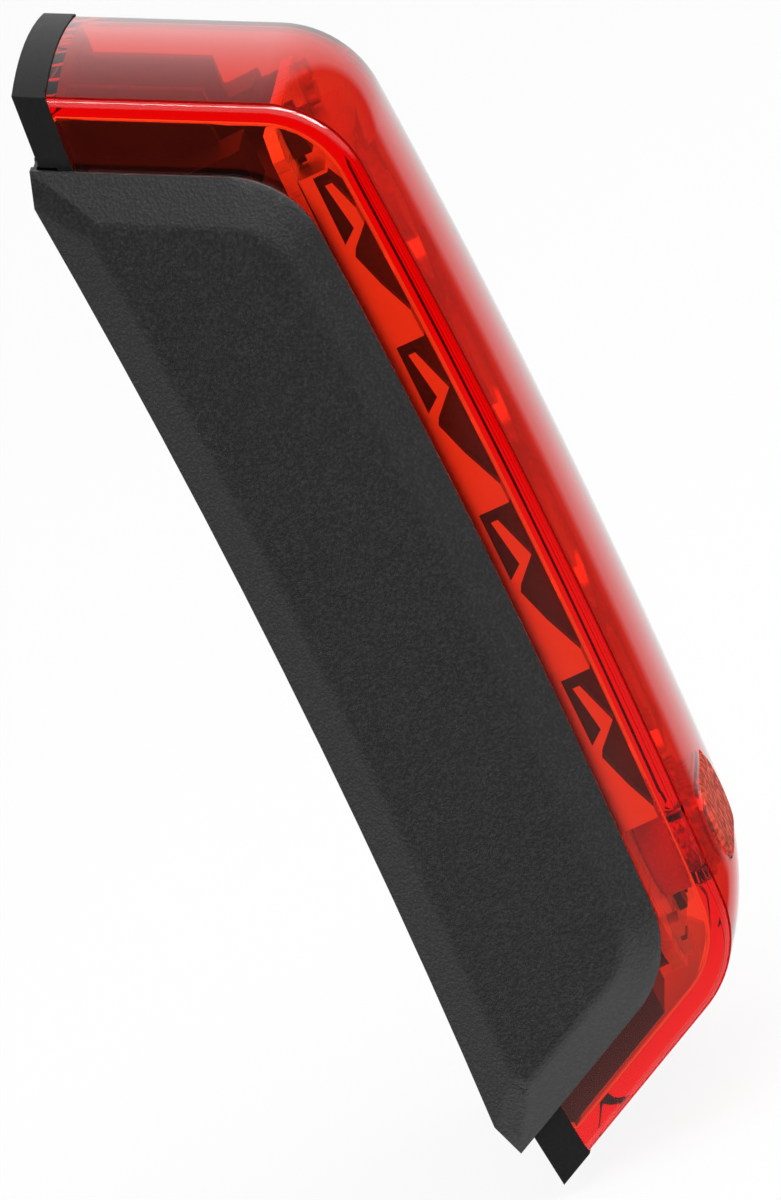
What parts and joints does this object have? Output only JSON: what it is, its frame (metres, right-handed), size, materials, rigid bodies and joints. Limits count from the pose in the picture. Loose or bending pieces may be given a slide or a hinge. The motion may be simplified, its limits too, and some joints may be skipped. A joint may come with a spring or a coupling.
{
  "type": "bike tail light",
  "caption": "Slim bow-shaped rear bicycle light: black shell with bevelled cheeks, red lens with reflector, push button at the lower end, two cells inside.",
  "frame": {"origin": "mouth of the click hole in the middle of the bowed back", "axes": "+Z along the light towards its top end, the lens faces -Y, the back faces +Y, X across the width"},
  "size_m": [0.0272, 0.0198, 0.0765],
  "materials": {
    "cover_black": "fine-grained matte black shell",
    "chassis_black": "moulded black plastic",
    "lens_red": "clear red polycarbonate",
    "reflector_plate": "vacuum plated reflector",
    "board_white": "white solder mask",
    "button_red": "soft translucent red button",
    "seal_rubber": "black silicone",
    "led_clear": "clear epoxy body",
    "cell_jacket": "printed film with bare steel ends",
    "contact_metal": "nickel plated strip",
    "switch_metal": "pressed steel lid",
    "plunger_black": "moulded plunger",
    "screw_steel": "zinc plated",
    "chip_black": "moulded package"
  },
  "bodies": {
    "rear_shell": {"rear_cover": "cover_black", "case_seal": "seal_rubber"},
    "front_unit": {"chassis": "chassis_black", "lens_cover": "lens_red", "reflector": "reflector_plate", "circuit_board": "board_white", "board_screws": "screw_steel", "button_boot": "button_red", "switch_body": "switch_metal", "driver_chip": "chip_black", "chip_resistors": "chip_black", "led_1": "led_clear", "led_2": "led_clear", "led_3": "led_clear", "led_4": "led_clear", "cell_left": "cell_jacket", "cell_right": "cell_jacket", "contact_plus": "contact_metal", "contact_minus": "contact_metal", "bridge_contact": "contact_metal"},
    "button": {"power_button": "button_red"},
    "plunger": {"switch_plunger": "plunger_black"}
  },
  "joints": [
    {"name": "case_open", "type": "slide", "parent": "rear_shell", "child": "front_unit", "axis": [0, -1, 0], "range_m": [0, 0.02]},
    {"name": "button_press", "type": "slide", "parent": "front_unit", "child": "button", "axis": [0, 1, 0], "range_m": [0, 0.0004], "stiffness_N_per_m": 400, "springref_m": -0.002, "deforming": ["button_boot"]},
    {"name": "plunger_press", "type": "slide", "parent": "front_unit", "child": "plunger", "axis": [0, 1, 0], "range_m": [0, 0.0002]}
  ],
  "couplings": [
    {"joint": "plunger_press", "follows": "button_press", "ratio": 0.5}
  ]
}
